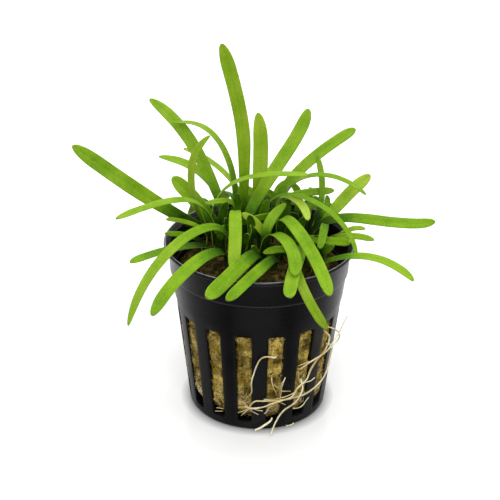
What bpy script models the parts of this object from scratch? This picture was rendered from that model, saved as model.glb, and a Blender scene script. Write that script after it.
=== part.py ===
"""A sagittaria seedling clump in a slotted net pot, filled with rockwool, with roots out through the slots.

Lengths are in millimetres until a point is placed, and the pot stands on z = 0 with its axis on the
world's Z. The front of the pot is -Y.
"""

from math import cos, pi, radians, sin
from typing import NamedTuple

import bmesh
import bpy
from mathutils import Matrix, Vector

MM = 0.001
GAP = 0.3

# Pot: its wall leans out from the base to the band, and the band carries the lip
POT_HEIGHT = 49.8
BASE_RADIUS = 19.5
WALL_LEAN = 0.113
WALL = 1.0
FLOOR_THICKNESS = 1.2
BASE_EDGE = 0.8
STEP_HEIGHT = 34.5
STEP_OUT = 0.25
BAND_BOTTOM = 41.6
BAND_RADIUS = 24.9
LIP_RADIUS = 26.5
LIP_HEIGHT = 1.1
LIP_TOP_WIDTH = 0.4
TURN_STEPS = 48

# Slots of the wall, evenly spaced, and the drain slots of the base
SLOT_COUNT = 16
FIRST_SLOT = -9.7
SLOT_BOTTOM = 2.8
SLOT_TOP = 31.6
SLOT_WIDTH_TOP = 4.4
SLOT_WIDTH_BOTTOM = 4.2
SLOT_CUT_DEPTH = 9.0
SLOT_CUT_OUT = 1.5
DRAIN_COUNT = 6
DRAIN_INNER = 6.0
DRAIN_OUTER = 14.0
DRAIN_WIDTH = 3.0

# Rockwool: a plug with a rounded foot and an uneven top
WOOL_TOP = 44.8
WOOL_EDGE_DROP = 2.4
WOOL_FOOT_ROUND = 5.0
WOOL_TOP_RADIUS = 22.0
WOOL_SHOULDER = 40.0
WOOL_SIDES = 32

# Leaves: every blade stands this far up, on top of the rockwool
LEAF_FOOT = 45.5
LEAF_THICKNESS = 0.5
BLADE_ROWS = (0.0, 0.12, 0.26, 0.4, 0.54, 0.68, 0.82, 0.94, 1.0)
BLADE_FULL_FROM = 0.45
BLADE_CHANNEL = 0.14
FRAME_STEPS = 48


class Leaf(NamedTuple):
    """A blade on one arc: its foot, the arc's two handles, its tip. Widths in mm, angles in degrees."""

    foot: tuple
    rise: tuple
    bend: tuple
    tip: tuple
    width: float = 3.2
    foot_share: float = 0.5
    tip_share: float = 0.9
    turn: float = 0.0
    twist: float = 0.0


LEAVES = {
    "leaf_left_longest": Leaf((-12, 11), (-27, 5, 56), (-36, 5, 63), (-51, 6, 74), 4.1),
    "leaf_left_high": Leaf((-8, 13), (-14, 18, 60), (-19, 22, 74), (-32, 26, 81), 3.4, tip_share=0.7),
    "leaf_left_hooked": Leaf((-7, 16), (-6, 18, 57), (-9, 19, 80), (-25, 20, 76), 2.6, turn=-70, twist=60),
    "leaf_left_curled": Leaf((-14, 12), (-19, 11, 54), (-23, 10, 69), (-14, 8, 77), 2.4, tip_share=0.5),
    "leaf_left_arched": Leaf((-12, 5), (-13, -2, 67), (-23, -3, 64), (-38, -12, 60), 2.8, turn=-45),
    "leaf_left_short_high": Leaf((-9, 17), (-12, 22, 57), (-17, 25, 62), (-30, 30, 62), 2.6, tip_share=0.7,
                               turn=-35),
    "leaf_left_narrow_high": Leaf((-5, 18), (-2, 21, 58), (-17, 30, 63), (-23, 34, 63), 2.4, turn=-55),
    "leaf_left_blunt": Leaf((-11, 14), (-15, 14, 51), (-21, 15, 58), (-25, 14, 62), 3.8, tip_share=1.0),
    "leaf_left_rim_upper": Leaf((-15, 8), (-13, 8, 49), (-22, 4, 54), (-26, 3, 54), 1.3),
    "leaf_left_rim_lower": Leaf((-16, 4), (-16, 2, 50), (-22, 0, 51), (-26, -2, 52), 1.5),
    "leaf_front_left_longest": Leaf(
        (-8, -2), (-6, -6, 66), (-29, -15, 57), (-34, -27, 37), 3.2, tip_share=0.5,
    ),
    "leaf_left_low": Leaf((-14, 0), (-12, -3, 52), (-27, -15, 53), (-34, -18, 51), 2.6, turn=-35),
    "leaf_front_left_wide": Leaf((-9, -4), (-9, -14, 57), (-21, -26, 54), (-27, -34, 44), 3.4),
    "leaf_front_pale": Leaf((-7, 3), (-7, 2, 70), (-6, -7, 54), (-7, -15, 47), 3.5),
    "leaf_front_wide": Leaf((-1, -5), (2, -11, 56), (-8, -29, 52), (-13, -37, 51), 3.9, tip_share=1.0),
    "leaf_front_narrow": Leaf((4, -8), (7, -12, 55), (-3, -30, 52), (-8, -38, 51), 2.9),
    "leaf_tallest": Leaf((-5, 14), (-5, 13, 69), (-2, 12, 75), (-11, 12, 102), 3.8, foot_share=0.4),
    "leaf_upright": Leaf((-1, 13), (-1, 14, 58), (1, 15, 69), (-1, 16, 81), 4.2, tip_share=0.7),
    "leaf_right_steep": Leaf((-4, 8), (-7, 9, 55), (10, 16, 70), (13, 20, 81), 3.5),
    "leaf_right_high": Leaf((4, 14), (1, 17, 58), (18, 22, 69), (27, 26, 73), 3.2),
    "leaf_centre_arched": Leaf((-13, 8), (-16, 6, 65), (-4, 3, 69), (13, -2, 70), 2.6, turn=50),
    "leaf_right_arched": Leaf((9, 12), (0, 9, 63), (16, 7, 73), (29, 4, 62), 2.2, turn=50),
    "leaf_rear_right_narrow": Leaf((15, 11), (17, 12, 55), (19, 15, 58), (16, 20, 67), 1.8),
    "leaf_right_inner_nodding": Leaf((16, 0), (19, -2, 63), (17, -9, 56), (16, -12, 53), 2.2),
    "leaf_right_blunt": Leaf((16, 9), (19, 10, 54), (24, 14, 58), (30, 16, 63), 3.5, tip_share=1.0),
    "leaf_right_longest": Leaf((14, 9), (16, 7, 60), (39, 3, 51), (48, 0, 56), 3.0, turn=25),
    "leaf_right_hooked": Leaf((4, 9), (-6, 3, 72), (24, -2, 64), (26, -12, 51), 2.1, tip_share=0.6, turn=30),
    "leaf_front_right_wide": Leaf((7, 0), (1, -3, 71), (15, -21, 57), (18, -33, 50), 3.4),
    "leaf_front_bright": Leaf((1, -4), (1, -9, 63), (11, -18, 57), (9, -28, 53), 3.6, tip_share=1.0),
    "leaf_front_hanging": Leaf((12, -5), (14, -5, 60), (7, -28, 50), (8, -36, 51), 3.7),
    "leaf_front_right_low": Leaf((10, -7), (8, -18, 57), (9, -32, 52), (18, -27, 37), 2.6),
    "leaf_right_drooping": Leaf((14, -8), (20, -16, 52), (31, -17, 58), (40, -24, 50), 2.6, turn=30),
    "leaf_right_rim_upper": Leaf((18, 6), (21, 0, 49), (23, 0, 55), (29, -1, 54), 1.4),
    "leaf_right_rim_middle": Leaf((18, 0), (18, -2, 53), (25, -4, 54), (31, -6, 53), 1.8),
    "leaf_right_rim_lower": Leaf((10, 3), (1, 3, 51), (22, -8, 53), (24, -12, 55), 2.2),
    "leaf_centre_nodding": Leaf((7, 10), (0, 7, 65), (12, 2, 64), (13, -5, 58), 2.4),
    "leaf_centre_inner": Leaf((1, -2), (2, -2, 54), (1, -1, 55), (7, 2, 60), 2.8),
    "leaf_centre_left_short": Leaf((2, 3), (3, 1, 50), (-1, -1, 56), (-5, -1, 58), 2.4),
    "leaf_front_inner": Leaf((3, -2), (11, -6, 50), (5, -7, 51), (1, -9, 50), 2.0),
    "leaf_rear_short_left": Leaf((2, 17), (1, 19, 50), (-1, 20, 57), (-6, 21, 56), 2.3),
    "leaf_rear_short_right": Leaf((8, 15), (12, 18, 51), (12, 21, 57), (9, 24, 56), 2.3),
    "leaf_right_inner_level": Leaf((10, 14), (0, 15, 59), (15, 16, 57), (21, 16, 58), 2.2),
    "leaf_right_inner_short": Leaf((16, -4), (17, -8, 50), (17, -9, 51), (20, -10, 53), 2.3),
    "leaf_back_left": Leaf((-6, 19), (-7, 23, 58), (-12, 32, 53), (-14, 36, 36), 3.2),
    "leaf_back_centre_left": Leaf((-3, 20), (-3, 24, 58), (-5, 34, 54), (-6, 38, 37), 3.4),
    "leaf_back_centre": Leaf((1, 21), (1, 24, 58), (4, 34, 53), (4, 37, 34), 3.3),
    "leaf_back_centre_right": Leaf((7, 18), (8, 22, 58), (11, 32, 53), (12, 37, 36), 3.2),
    "leaf_back_right": Leaf((11, 16), (13, 21, 58), (17, 29, 53), (20, 33, 35), 3.4),
    "leaf_back_far_right": Leaf((14, 13), (17, 18, 56), (21, 24, 54), (23, 27, 38), 2.8),
    "leaf_back_far_left": Leaf((-12, 15), (-14, 19, 57), (-20, 27, 53), (-21, 30, 38), 3.0),
    "leaf_back_short": Leaf((5, 21), (4, 21, 52), (5, 24, 55), (8, 27, 56), 3.0),
}


class Root(NamedTuple):
    """A root over the wall: thickness, and points of (degrees round the pot, height, clear of the wall)."""

    thickness: float
    points: tuple


ROOTS = {
    "root_front_hook": Root(
        0.6,
        (
            (13, 25, -0.4), (12, 25.4, 0.9), (6, 26.3, 1.1), (2, 25.7, 1.1), (-0.5, 23.5, 1.1), (-2, 21, 1.1),
            (-4.5, 17.4, 1.1), (-3.5, 15.5, 1.1), (-4, 13.5, 1.0), (-5.7, 12, -0.2),
        ),
    ),
    "root_main": Root(
        0.7,
        (
            (54, 28.5, -0.4), (56, 27.5, 0.9), (57, 26, 1.1), (55.5, 24, 1.1), (53, 22.5, 1.1),
            (46.5, 21.7, 1.1), (42.5, 20.2, 1.1), (39.5, 18.7, 1.2), (37.5, 17.3, 1.5), (35.5, 16.2, 1.9),
            (30, 15.3, 2.2), (27.5, 14.4, 2.2), (26.3, 12.8, 2.2), (24, 11.9, 2.2), (19, 11.5, 2.2),
            (10, 10.7, 2.2), (4, 9.6, 2.2), (-1.5, 9, 2.0), (-6.5, 8.8, 1.6), (-9, 8.6, 0.6),
        ),
    ),
    "root_free_tip": Root(
        0.6,
        (
            (31.5, 19.4, -0.4), (30.5, 19.8, 0.9), (33, 20.9, 1.3), (36.5, 22, 1.7), (41, 22.8, 2.1),
            (47, 23.2, 2.3), (54, 24.4, 2.3), (58.5, 25.5, 2.3), (63, 26.2, 2.3), (67, 27.1, 2.3),
            (71, 28.4, 2.4), (74, 30.2, 3.0),
        ),
    ),
    "root_lower": Root(
        0.7,
        (
            (60, 23.2, -0.4), (64, 22.6, 0.8), (65, 21.2, 1.0), (64, 18, 1.0), (62.5, 15, 1.1),
            (58.5, 13.4, 1.2), (51, 11.8, 1.2), (43, 11.1, 1.2), (36.5, 10.7, 1.2), (30, 10.6, 1.1),
            (22.5, 10.7, 1.0), (13, 10.8, 1.0), (4, 11, 1.0), (-1.5, 11, 1.0), (-4, 10.1, 1.0),
            (-6, 8.2, 0.4),
        ),
    ),
    "root_to_floor": Root(
        0.7,
        (
            (35, 15.3, -0.4), (34, 14.6, 1.0), (33, 13.5, 2.0), (31.2, 11.8, 2.2), (28.5, 10, 2.1),
            (25.5, 8.8, 1.8), (22, 7.8, 1.4), (19, 6.6, 1.2), (16.5, 5.2, 1.2), (14.3, 3.6, 1.5),
            (12.3, 2.2, 2.2), (9.5, 0.8, 4.0),
        ),
    ),
    "root_foot_thick": Root(
        0.8,
        ((-1, 0.9, 1.3), (2.5, 1.5, 1.2), (7, 2.7, 1.1), (11, 3.9, 0.9), (13, 4.5, 0.4), (13.6, 4.8, -0.4)),
    ),
}


def new_collection(name):
    collection = bpy.data.collections.new(name)
    bpy.context.scene.collection.children.link(collection)
    return collection


def material(name, colour, roughness):
    made = bpy.data.materials.new(name)
    made.use_nodes = True
    shader = made.node_tree.nodes["Principled BSDF"]
    shader.inputs["Base Color"].default_value = (*colour, 1.0)
    shader.inputs["Roughness"].default_value = roughness
    return made


def add_object(name, data, collection, surface=None):
    made = bpy.data.objects.new(name, data)
    collection.objects.link(made)
    if surface:
        data.materials.append(surface)
    return made


def mesh_from(name, shape):
    data = bpy.data.meshes.new(name)
    shape.to_mesh(data)
    shape.free()
    return data


def wall_radius(height):
    """Outer radius of the pot's wall at a height, below the band."""
    return BASE_RADIUS + WALL_LEAN * height + (STEP_OUT if height > STEP_HEIGHT else 0.0)


def round_the_pot(degrees, radius, height):
    """A point at an angle from the pot's front, positive towards +X."""
    angle = radians(degrees)
    return Vector((radius * sin(angle), -radius * cos(angle), height)) * MM


def pot_profile():
    """Radius and height from the middle of the inner floor, over the flared lip and down the outer side."""
    step = STEP_HEIGHT
    band_top = POT_HEIGHT - LIP_HEIGHT
    band_inside = BAND_RADIUS - WALL
    return (
        (0, FLOOR_THICKNESS),
        (wall_radius(FLOOR_THICKNESS) - WALL - 0.6, FLOOR_THICKNESS),
        (wall_radius(FLOOR_THICKNESS) - WALL, FLOOR_THICKNESS + 0.6),
        (wall_radius(BAND_BOTTOM) - WALL, BAND_BOTTOM - 0.3),
        (band_inside, BAND_BOTTOM + 0.6),
        (band_inside + 0.4, POT_HEIGHT - 1.6),
        (band_inside + 1.1, POT_HEIGHT - 0.6),
        (LIP_RADIUS - 0.2 - LIP_TOP_WIDTH, POT_HEIGHT),
        (LIP_RADIUS - 0.2, POT_HEIGHT),
        (LIP_RADIUS, POT_HEIGHT - 0.3),
        (LIP_RADIUS, band_top + 0.2),
        (BAND_RADIUS + 0.4, band_top),
        (BAND_RADIUS, BAND_BOTTOM + 0.2),
        (wall_radius(BAND_BOTTOM), BAND_BOTTOM),
        (wall_radius(step + 0.1), step + 0.1),
        (wall_radius(step), step - 0.2),
        (wall_radius(BASE_EDGE), BASE_EDGE),
        (wall_radius(0) - BASE_EDGE, 0),
        (0, 0),
    )


def slot_cutters():
    """One wedge through the wall for each slot, and one bar through the floor for each drain slot."""
    shape = bmesh.new()
    middle = (SLOT_TOP + SLOT_BOTTOM) / 2
    for number in range(SLOT_COUNT):
        turn = Matrix.Rotation(radians(FIRST_SLOT + 360 / SLOT_COUNT * number), 4, "Z")
        corners = bmesh.ops.create_cube(shape, size=1.0)["verts"]
        for corner in corners:
            width = SLOT_WIDTH_TOP if corner.co.z > 0 else SLOT_WIDTH_BOTTOM
            reach = BASE_RADIUS + SLOT_CUT_OUT + corner.co.y * SLOT_CUT_DEPTH
            height = middle + corner.co.z * (SLOT_TOP - SLOT_BOTTOM)
            corner.co = turn @ Vector((corner.co.x * width, -reach, height)) * MM
    for number in range(DRAIN_COUNT):
        turn = Matrix.Rotation(radians(360 / DRAIN_COUNT * number), 4, "Z")
        corners = bmesh.ops.create_cube(shape, size=1.0)["verts"]
        for corner in corners:
            reach = (DRAIN_INNER + DRAIN_OUTER) / 2 + corner.co.y * (DRAIN_OUTER - DRAIN_INNER)
            place = (corner.co.x * DRAIN_WIDTH, -reach, corner.co.z * 4 * FLOOR_THICKNESS)
            corner.co = turn @ Vector(place) * MM
    bmesh.ops.recalc_face_normals(shape, faces=shape.faces)
    return mesh_from("slot_cutters", shape)


def make_pot(parts, cutters, surface):
    shape = bmesh.new()
    points = [shape.verts.new(Vector((radius, 0, height)) * MM) for radius, height in pot_profile()]
    for start, end in zip(points, points[1:]):
        shape.edges.new((start, end))
    pot = add_object("pot", mesh_from("pot", shape), parts, surface)
    turned = pot.modifiers.new("turned", "SCREW")
    turned.angle = 2 * pi
    turned.steps = TURN_STEPS
    turned.render_steps = TURN_STEPS
    turned.use_merge_vertices = True
    turned.merge_threshold = 0.00001
    cutter = add_object("slot_cutters", slot_cutters(), cutters)
    cutter.hide_render = True
    cutter.display_type = "WIRE"
    slots = pot.modifiers.new("slots", "BOOLEAN")
    slots.operation = "DIFFERENCE"
    slots.object = cutter
    return pot


def wool_top(x, y):
    """Height of the rockwool's top: a low dome, with lumps that fade towards its middle."""
    out = min(1.0, Vector((x, y)).length / WOOL_TOP_RADIUS)
    lumps = 0.6 * sin(0.55 * x + 1.3) * cos(0.48 * y) + 0.35 * sin(1.1 * y + 0.4 * x)
    return WOOL_TOP - WOOL_EDGE_DROP * out**3 + lumps * out**2 - 0.3 * (1 - out)


def make_wool(parts, surface):
    shape = bmesh.new()
    rings = (
        (0.72, FLOOR_THICKNESS + GAP),
        (0.90, FLOOR_THICKNESS + 1.6),
        (1.0, WOOL_FOOT_ROUND + FLOOR_THICKNESS),
        (1.0, 18.0),
        (1.0, 31.0),
        (1.0, 39.5),
        (0.97, None),
        (0.74, None),
        (0.42, None),
    )
    loops = []
    for share, height in rings:
        radius = wall_radius(min(WOOL_SHOULDER, height or WOOL_SHOULDER)) - STEP_OUT - WALL - GAP
        loop = []
        for side in range(WOOL_SIDES):
            angle = 2 * pi * side / WOOL_SIDES
            x, y = share * radius * cos(angle), share * radius * sin(angle)
            loop.append(shape.verts.new(Vector((x, y, height or wool_top(x, y))) * MM))
        loops.append(loop)
    for lower, upper in zip(loops, loops[1:]):
        edges = [shape.edges.get((a, b)) or shape.edges.new((a, b)) for loop in (lower, upper)
                 for a, b in zip(loop, loop[1:] + loop[:1])]
        bmesh.ops.bridge_loops(shape, edges=edges)
    shape.faces.new(loops[0][::-1])
    crown = shape.verts.new(Vector((0, 0, wool_top(0, 0))) * MM)
    for a, b in zip(loops[-1], loops[-1][1:] + loops[-1][:1]):
        shape.faces.new((a, b, crown))
    bmesh.ops.recalc_face_normals(shape, faces=shape.faces)
    return add_object("rockwool", mesh_from("rockwool", shape), parts, surface)


def arc_point(leaf, share):
    """A point of the leaf's midrib, from its foot at 0 to its tip at 1."""
    rest = 1 - share
    foot = Vector((*leaf.foot, LEAF_FOOT))
    return (
        rest**3 * foot
        + 3 * rest**2 * share * Vector(leaf.rise)
        + 3 * rest * share**2 * Vector(leaf.bend)
        + share**3 * Vector(leaf.tip)
    )


def blade_sides(leaf):
    """The blade's sideways direction at each step of its midrib.

    The tip faces the front, leaning back, and the blade carries that direction down the arc without
    spinning, apart from the leaf's own turn and twist.
    """
    points = [arc_point(leaf, step / FRAME_STEPS) for step in range(FRAME_STEPS + 1)]
    along = [(b - a).normalized() for a, b in zip(points, points[1:])]
    along.append(along[-1])
    front = Vector((0, -cos(radians(30)), sin(radians(30))))
    side = along[-1].cross(front).normalized()
    sides = [side]
    for below in reversed(along[:-1]):
        side = (side - side.dot(below) * below).normalized()
        sides.insert(0, side)
    turned = []
    for step, (tangent, side) in enumerate(zip(along, sides)):
        angle = radians(leaf.turn + leaf.twist * (1 - step / FRAME_STEPS))
        turned.append((side * cos(angle) + side.cross(tangent) * sin(angle), tangent))
    return turned


def blade_half_width(leaf, share):
    """Half the blade's width: narrow at the foot, full from its middle, rounded off at the tip."""
    grown = min(1.0, share / BLADE_FULL_FROM) ** 0.8
    width = leaf.foot_share + (1 - leaf.foot_share) * grown
    if share > 0.7:
        width *= 1 - (1 - leaf.tip_share) * (share - 0.7) / 0.3
    if share > 0.9:
        width *= 1 - 0.62 * ((share - 0.9) / 0.1) ** 2
    return width * leaf.width / 2


def make_leaf(name, leaf, parts, surface):
    """A grid two faces wide, laid along the leaf's arc with raised edges, and given its thickness."""
    shape = bmesh.new()
    rows = len(BLADE_ROWS)
    bmesh.ops.create_grid(shape, x_segments=2, y_segments=rows - 1, size=1.0)
    sides = blade_sides(leaf)
    for corner in shape.verts:
        across = corner.co.x
        share = BLADE_ROWS[round((corner.co.y + 1) / 2 * (rows - 1))]
        side, tangent = sides[round(share * FRAME_STEPS)]
        half = blade_half_width(leaf, share)
        raised = side.cross(tangent) * BLADE_CHANNEL * half * abs(across)
        corner.co = (arc_point(leaf, share) + side * half * across + raised) * MM
    blade = add_object(name, mesh_from(name, shape), parts, surface)
    thickness = blade.modifiers.new("thickness", "SOLIDIFY")
    thickness.thickness = LEAF_THICKNESS * MM
    thickness.offset = 0.0
    return blade


def make_root(name, root, parts, surface):
    """A tube on a smooth curve that stands clear of the wall, thinner towards its far end."""
    data = bpy.data.curves.new(name, "CURVE")
    data.dimensions = "3D"
    data.resolution_u = 2
    data.bevel_depth = root.thickness / 2 * MM
    data.bevel_resolution = 1
    data.use_fill_caps = True
    spline = data.splines.new("NURBS")
    spline.points.add(len(root.points) - 1)
    spline.order_u = 3
    spline.use_endpoint_u = True
    for number, (degrees, height, clear) in enumerate(root.points):
        place = round_the_pot(degrees, wall_radius(height) + clear, height)
        spline.points[number].co = (*place, 1.0)
        spline.points[number].radius = 1 - 0.35 * number / len(root.points)
    return add_object(name, data, parts, surface)


def main():
    for old in list(bpy.data.objects):
        bpy.data.objects.remove(old)
    parts = new_collection("potted_sagittaria")
    cutters = new_collection("cutters")
    make_pot(parts, cutters, material("black_plastic", (0.012, 0.012, 0.013), 0.35))
    make_wool(parts, material("rockwool", (0.17, 0.14, 0.055), 0.95))
    for name, leaf in LEAVES.items():
        make_leaf(name, leaf, parts, material(name, (0.16, 0.4, 0.03), 0.45))
    for name, root in ROOTS.items():
        make_root(name, root, parts, material(name, (0.72, 0.6, 0.38), 0.6))


main()
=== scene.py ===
"""Looks of a potted sagittaria: slotted net pot, rockwool, strap leaves and roots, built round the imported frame."""

from math import cos, exp, pi, radians, sin
from random import Random
from typing import NamedTuple

import bmesh
import bpy
from mathutils import Matrix, Vector, noise


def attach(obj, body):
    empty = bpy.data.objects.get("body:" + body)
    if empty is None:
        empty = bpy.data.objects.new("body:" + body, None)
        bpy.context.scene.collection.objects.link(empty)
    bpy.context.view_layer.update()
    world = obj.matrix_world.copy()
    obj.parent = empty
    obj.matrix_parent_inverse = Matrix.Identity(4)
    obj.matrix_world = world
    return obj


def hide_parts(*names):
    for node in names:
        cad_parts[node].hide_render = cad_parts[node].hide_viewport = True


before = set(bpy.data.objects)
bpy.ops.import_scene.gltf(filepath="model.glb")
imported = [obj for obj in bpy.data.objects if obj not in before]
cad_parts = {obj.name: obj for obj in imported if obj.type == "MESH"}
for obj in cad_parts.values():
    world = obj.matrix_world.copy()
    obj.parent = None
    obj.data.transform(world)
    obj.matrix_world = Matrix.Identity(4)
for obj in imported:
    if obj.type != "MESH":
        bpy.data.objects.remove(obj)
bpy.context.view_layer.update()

MM = 0.001

# Pot: outer wall, step, band and lip
POT_HEIGHT = 49.8
BASE_RADIUS = 19.5
WALL_LEAN = 0.113
WALL = 1.0
FLOOR_THICKNESS = 1.2
STEP_HEIGHT = 34.5
STEP_OUT = 0.25
BAND_BOTTOM = 41.6
BAND_RADIUS = 24.9
LIP_RADIUS = 26.5
SLOT_COUNT = 16
FIRST_SLOT = -9.7
SLOT_BOTTOM = 2.8
SLOT_TOP = 31.6
SLOT_HALF_ANGLE = 5.8
SLOT_STEPS = 4
RIB_STEPS = 5
DRAIN_COUNT = 6
DRAIN_INNER = 6.0
DRAIN_OUTER = 14.0
DRAIN_WIDTH = 3.0

# Rockwool
WOOL_TOP = 44.8
WOOL_EDGE_DROP = 2.4
WOOL_GAP = 0.3
WOOL_BULGE = 1.2
WOOL_TURNS = (-5.72, -5.5, -4.6, -3.2, -1.6, 0.0, 1.6, 3.2, 4.6, 5.5, 5.72, 11.25)

# Leaves
LEAF_FOOT = 45.5
FOOT_SINK = 2.6
BLADE_FULL_FROM = 0.55
BLADE_CHANNEL = 0.14
BLADE_ACROSS = 8
BODY_ROWS = 24
TIP_ROWS = 9
BLADE_THICKNESS = 0.5
TIP_LENGTH = 1.3
TIP_TAPER = 2.4
BLADE_SPREAD = 1.02
FRAME_STEPS = 48


class Leaf(NamedTuple):
    """A blade on one arc: its foot, the arc's two handles, its tip. Widths in mm, angles in degrees."""

    foot: tuple
    rise: tuple
    bend: tuple
    tip: tuple
    width: float = 3.2
    foot_share: float = 0.5
    tip_share: float = 0.9
    turn: float = 0.0
    twist: float = 0.0
    # tone: the blade's brightness, partly its own colour and partly painted light and shade for its place in the
    # crown.
    tone: float = 0.5


LEAVES = {
    "left_longest": Leaf((-12, 11), (-27, 5, 56), (-36, 5, 63), (-51.4, 6, 74.3), 4.2, tone=0.48),
    "left_high": Leaf((-8, 13), (-14, 18, 60), (-19, 22, 74), (-32, 26, 81), 3.6, tip_share=0.7, tone=0.58),
    "left_hooked": Leaf((-7, 16), (-6, 18, 57), (-9, 19, 80), (-25, 20, 76), 3.0, turn=-70, twist=60, tone=0.5),
    "left_curled": Leaf((-14, 12), (-19, 11, 54), (-23, 10, 69), (-14, 8, 77), 2.4, tip_share=0.5, tone=0.68),
    "left_arched": Leaf((-12, 5), (-13, -2, 67), (-23, -3, 64), (-38, -12, 60.8), 2.8, turn=-45, tone=0.5),
    "left_short_high": Leaf((-9, 17), (-12, 22, 57), (-17, 25, 62), (-30, 30, 62), 3.0, tip_share=0.7,
                            turn=-35, tone=0.54),
    "left_narrow_high": Leaf((-5, 18), (-2, 21, 58), (-17, 30, 63), (-23, 34, 63), 2.4, turn=-55, tone=0.62),
    "left_blunt": Leaf((-11, 14), (-15, 14, 51), (-21, 15, 58), (-25, 14, 62), 4.1, tip_share=1.0, tone=0.56),
    "left_rim_upper": Leaf((-15, 8), (-13, 8, 49), (-22, 4, 54), (-26, 3, 54), 1.3, tone=0.55),
    "left_rim_lower": Leaf((-16, 4), (-16, 2, 50), (-22, 0, 51), (-26, -2, 52), 1.5, tone=0.38),
    "front_left_longest": Leaf((-8, -2), (-6, -6, 66), (-29, -15, 57), (-34, -27, 37), 2.7, tip_share=0.5,
                               tone=0.55),
    "left_low": Leaf((-14, 0), (-12, -3, 52), (-27, -15, 53), (-34, -18, 51), 2.6, turn=-35, tone=0.36),
    "front_left_wide": Leaf((-9, -4), (-9, -14, 57), (-21, -26, 54), (-27, -34, 44), 3.4, tone=0.46),
    "front_pale": Leaf((-7, 3), (-7, 2, 70), (-6, -7, 54), (-7, -15, 47), 3.5, foot_share=0.4, tone=0.55),
    "front_wide": Leaf((-1, -5), (2, -11, 56), (-8, -29, 52), (-13, -37, 51), 3.9, tip_share=1.0, tone=0.43),
    "front_narrow": Leaf((4, -8), (7, -12, 55), (-3, -30, 52), (-8, -38, 51), 2.9, tone=0.4),
    "tallest": Leaf((-5, 14), (-5, 13, 69), (-2.5, 12, 75), (-11, 12, 101.7), 3.9, foot_share=0.4, tip_share=1.0,
                    tone=0.6),
    "upright": Leaf((-1, 13), (-1, 14, 58), (1, 15, 69), (-1, 16, 81), 4.2, tip_share=0.85, tone=0.62),
    "right_steep": Leaf((-4, 8), (-7, 9, 55), (10.5, 16, 70), (13, 20, 81), 3.8, tone=0.52),
    "right_high": Leaf((4, 14), (1, 17, 58), (18, 22, 69), (27, 26, 73), 3.2, tone=0.5),
    "centre_arched": Leaf((-13, 8), (-16, 6, 65), (-4, 3, 69), (13, -2, 70), 2.6, turn=50, tone=0.55),
    "right_arched": Leaf((9, 12), (0, 9, 63), (16, 7, 73), (29, 4, 62), 2.2, turn=50, tone=0.43),
    "rear_right_narrow": Leaf((15, 11), (17, 12, 55), (19, 15, 58), (16, 20, 67), 1.8, tone=0.36),
    "right_inner_nodding": Leaf((16, 0), (19, -2, 63), (17, -9, 56), (16, -12, 53), 2.2, tone=0.32),
    "right_blunt": Leaf((16, 9), (19, 10, 54), (25, 14, 58), (31, 16, 63), 3.5, tip_share=1.0, tone=0.66),
    "right_longest": Leaf((14, 9), (16, 7, 60), (39, 3, 51), (48, 0, 56), 3.2, turn=25, tone=0.44),
    "right_hooked": Leaf((4, 9), (-6, 3, 72), (24, -2, 64), (26, -12, 51), 1.8, tip_share=0.6, turn=30,
                         tone=0.42),
    "front_right_wide": Leaf((7, 0), (1, -3, 71), (15, -21, 57), (18, -33, 50), 3.4, tone=0.46),
    "front_bright": Leaf((1, -4), (1, -9, 63), (11, -18, 57), (9, -28, 53), 3.6, tip_share=1.0, tone=0.42),
    "front_hanging": Leaf((12, -5), (14, -5, 60), (7, -28, 50), (8, -36, 51), 3.7, tone=0.5),
    "front_right_low": Leaf((10, -7), (8, -18, 57), (9, -32, 52), (18, -27, 37), 2.6, tone=0.62),
    "right_drooping": Leaf((14, -8), (20, -16, 53), (31, -17, 57), (40, -24, 50), 2.6, turn=30, tone=0.54),
    "right_rim_upper": Leaf((18, 6), (21, 0, 49), (23, 0, 55), (29, -1, 54), 1.4, tone=0.62),
    "right_rim_middle": Leaf((18, 0), (18, -2, 53), (25, -4, 54), (31, -6, 53), 1.8, tone=0.58),
    "right_rim_lower": Leaf((10, 3), (1, 3, 51), (22, -8, 53), (24, -12, 55), 2.2, tone=0.44),
    "centre_nodding": Leaf((7, 10), (0, 7, 65), (12, 2, 64), (13, -5, 58), 2.4, tone=0.88),
    "centre_inner": Leaf((1, -2), (2, -2, 54), (1, -1, 55), (7, 2, 60), 2.8, tone=0.42),
    "centre_left_short": Leaf((2, 3), (3, 1, 50), (-1, -1, 56), (-5, -1, 58), 2.4, tone=0.65),
    "front_inner": Leaf((3, -2), (11, -6, 50), (5, -7, 51), (1, -9, 50), 2.0, tone=0.38),
    "rear_short_left": Leaf((2, 17), (1, 19, 50), (-1, 20, 57), (-6, 21, 56), 2.3, tone=0.55),
    "rear_short_right": Leaf((8, 15), (12, 18, 51), (12, 21, 57), (9, 24, 56), 2.3, tone=0.4),
    "right_inner_level": Leaf((10, 14), (0, 15, 59), (15, 16, 57), (21, 16, 58), 2.2, tone=0.46),
    "right_inner_short": Leaf((16, -4), (17, -8, 50), (17, -9, 51), (20, -10, 53), 2.3, tone=0.12),
    "back_left": Leaf((-6, 19), (-7, 23, 58), (-12, 32, 53), (-14, 36, 36), 3.2),
    "back_centre_left": Leaf((-3, 20), (-3, 24, 58), (-5, 34, 54), (-6, 38, 37), 3.4, tone=0.6),
    "back_centre": Leaf((1, 21), (1, 24, 58), (4, 34, 53), (4, 37, 34), 3.3),
    "back_centre_right": Leaf((7, 18), (8, 22, 58), (11, 32, 53), (12, 37, 36), 3.2, tone=0.58),
    "back_right": Leaf((11, 16), (13, 21, 58), (17, 29, 53), (20, 33, 35), 3.4, tone=0.55),
    "back_far_right": Leaf((14, 13), (17, 18, 56), (21, 24, 54), (23, 27, 38), 2.8, tone=0.5),
    "back_far_left": Leaf((-12, 15), (-14, 19, 57), (-20, 27, 53), (-21, 30, 38), 3.0, tone=0.5),
    "back_short": Leaf((5, 21), (4, 21, 52), (5, 24, 55), (8, 27, 56), 3.0, tone=0.45),
}

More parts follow.
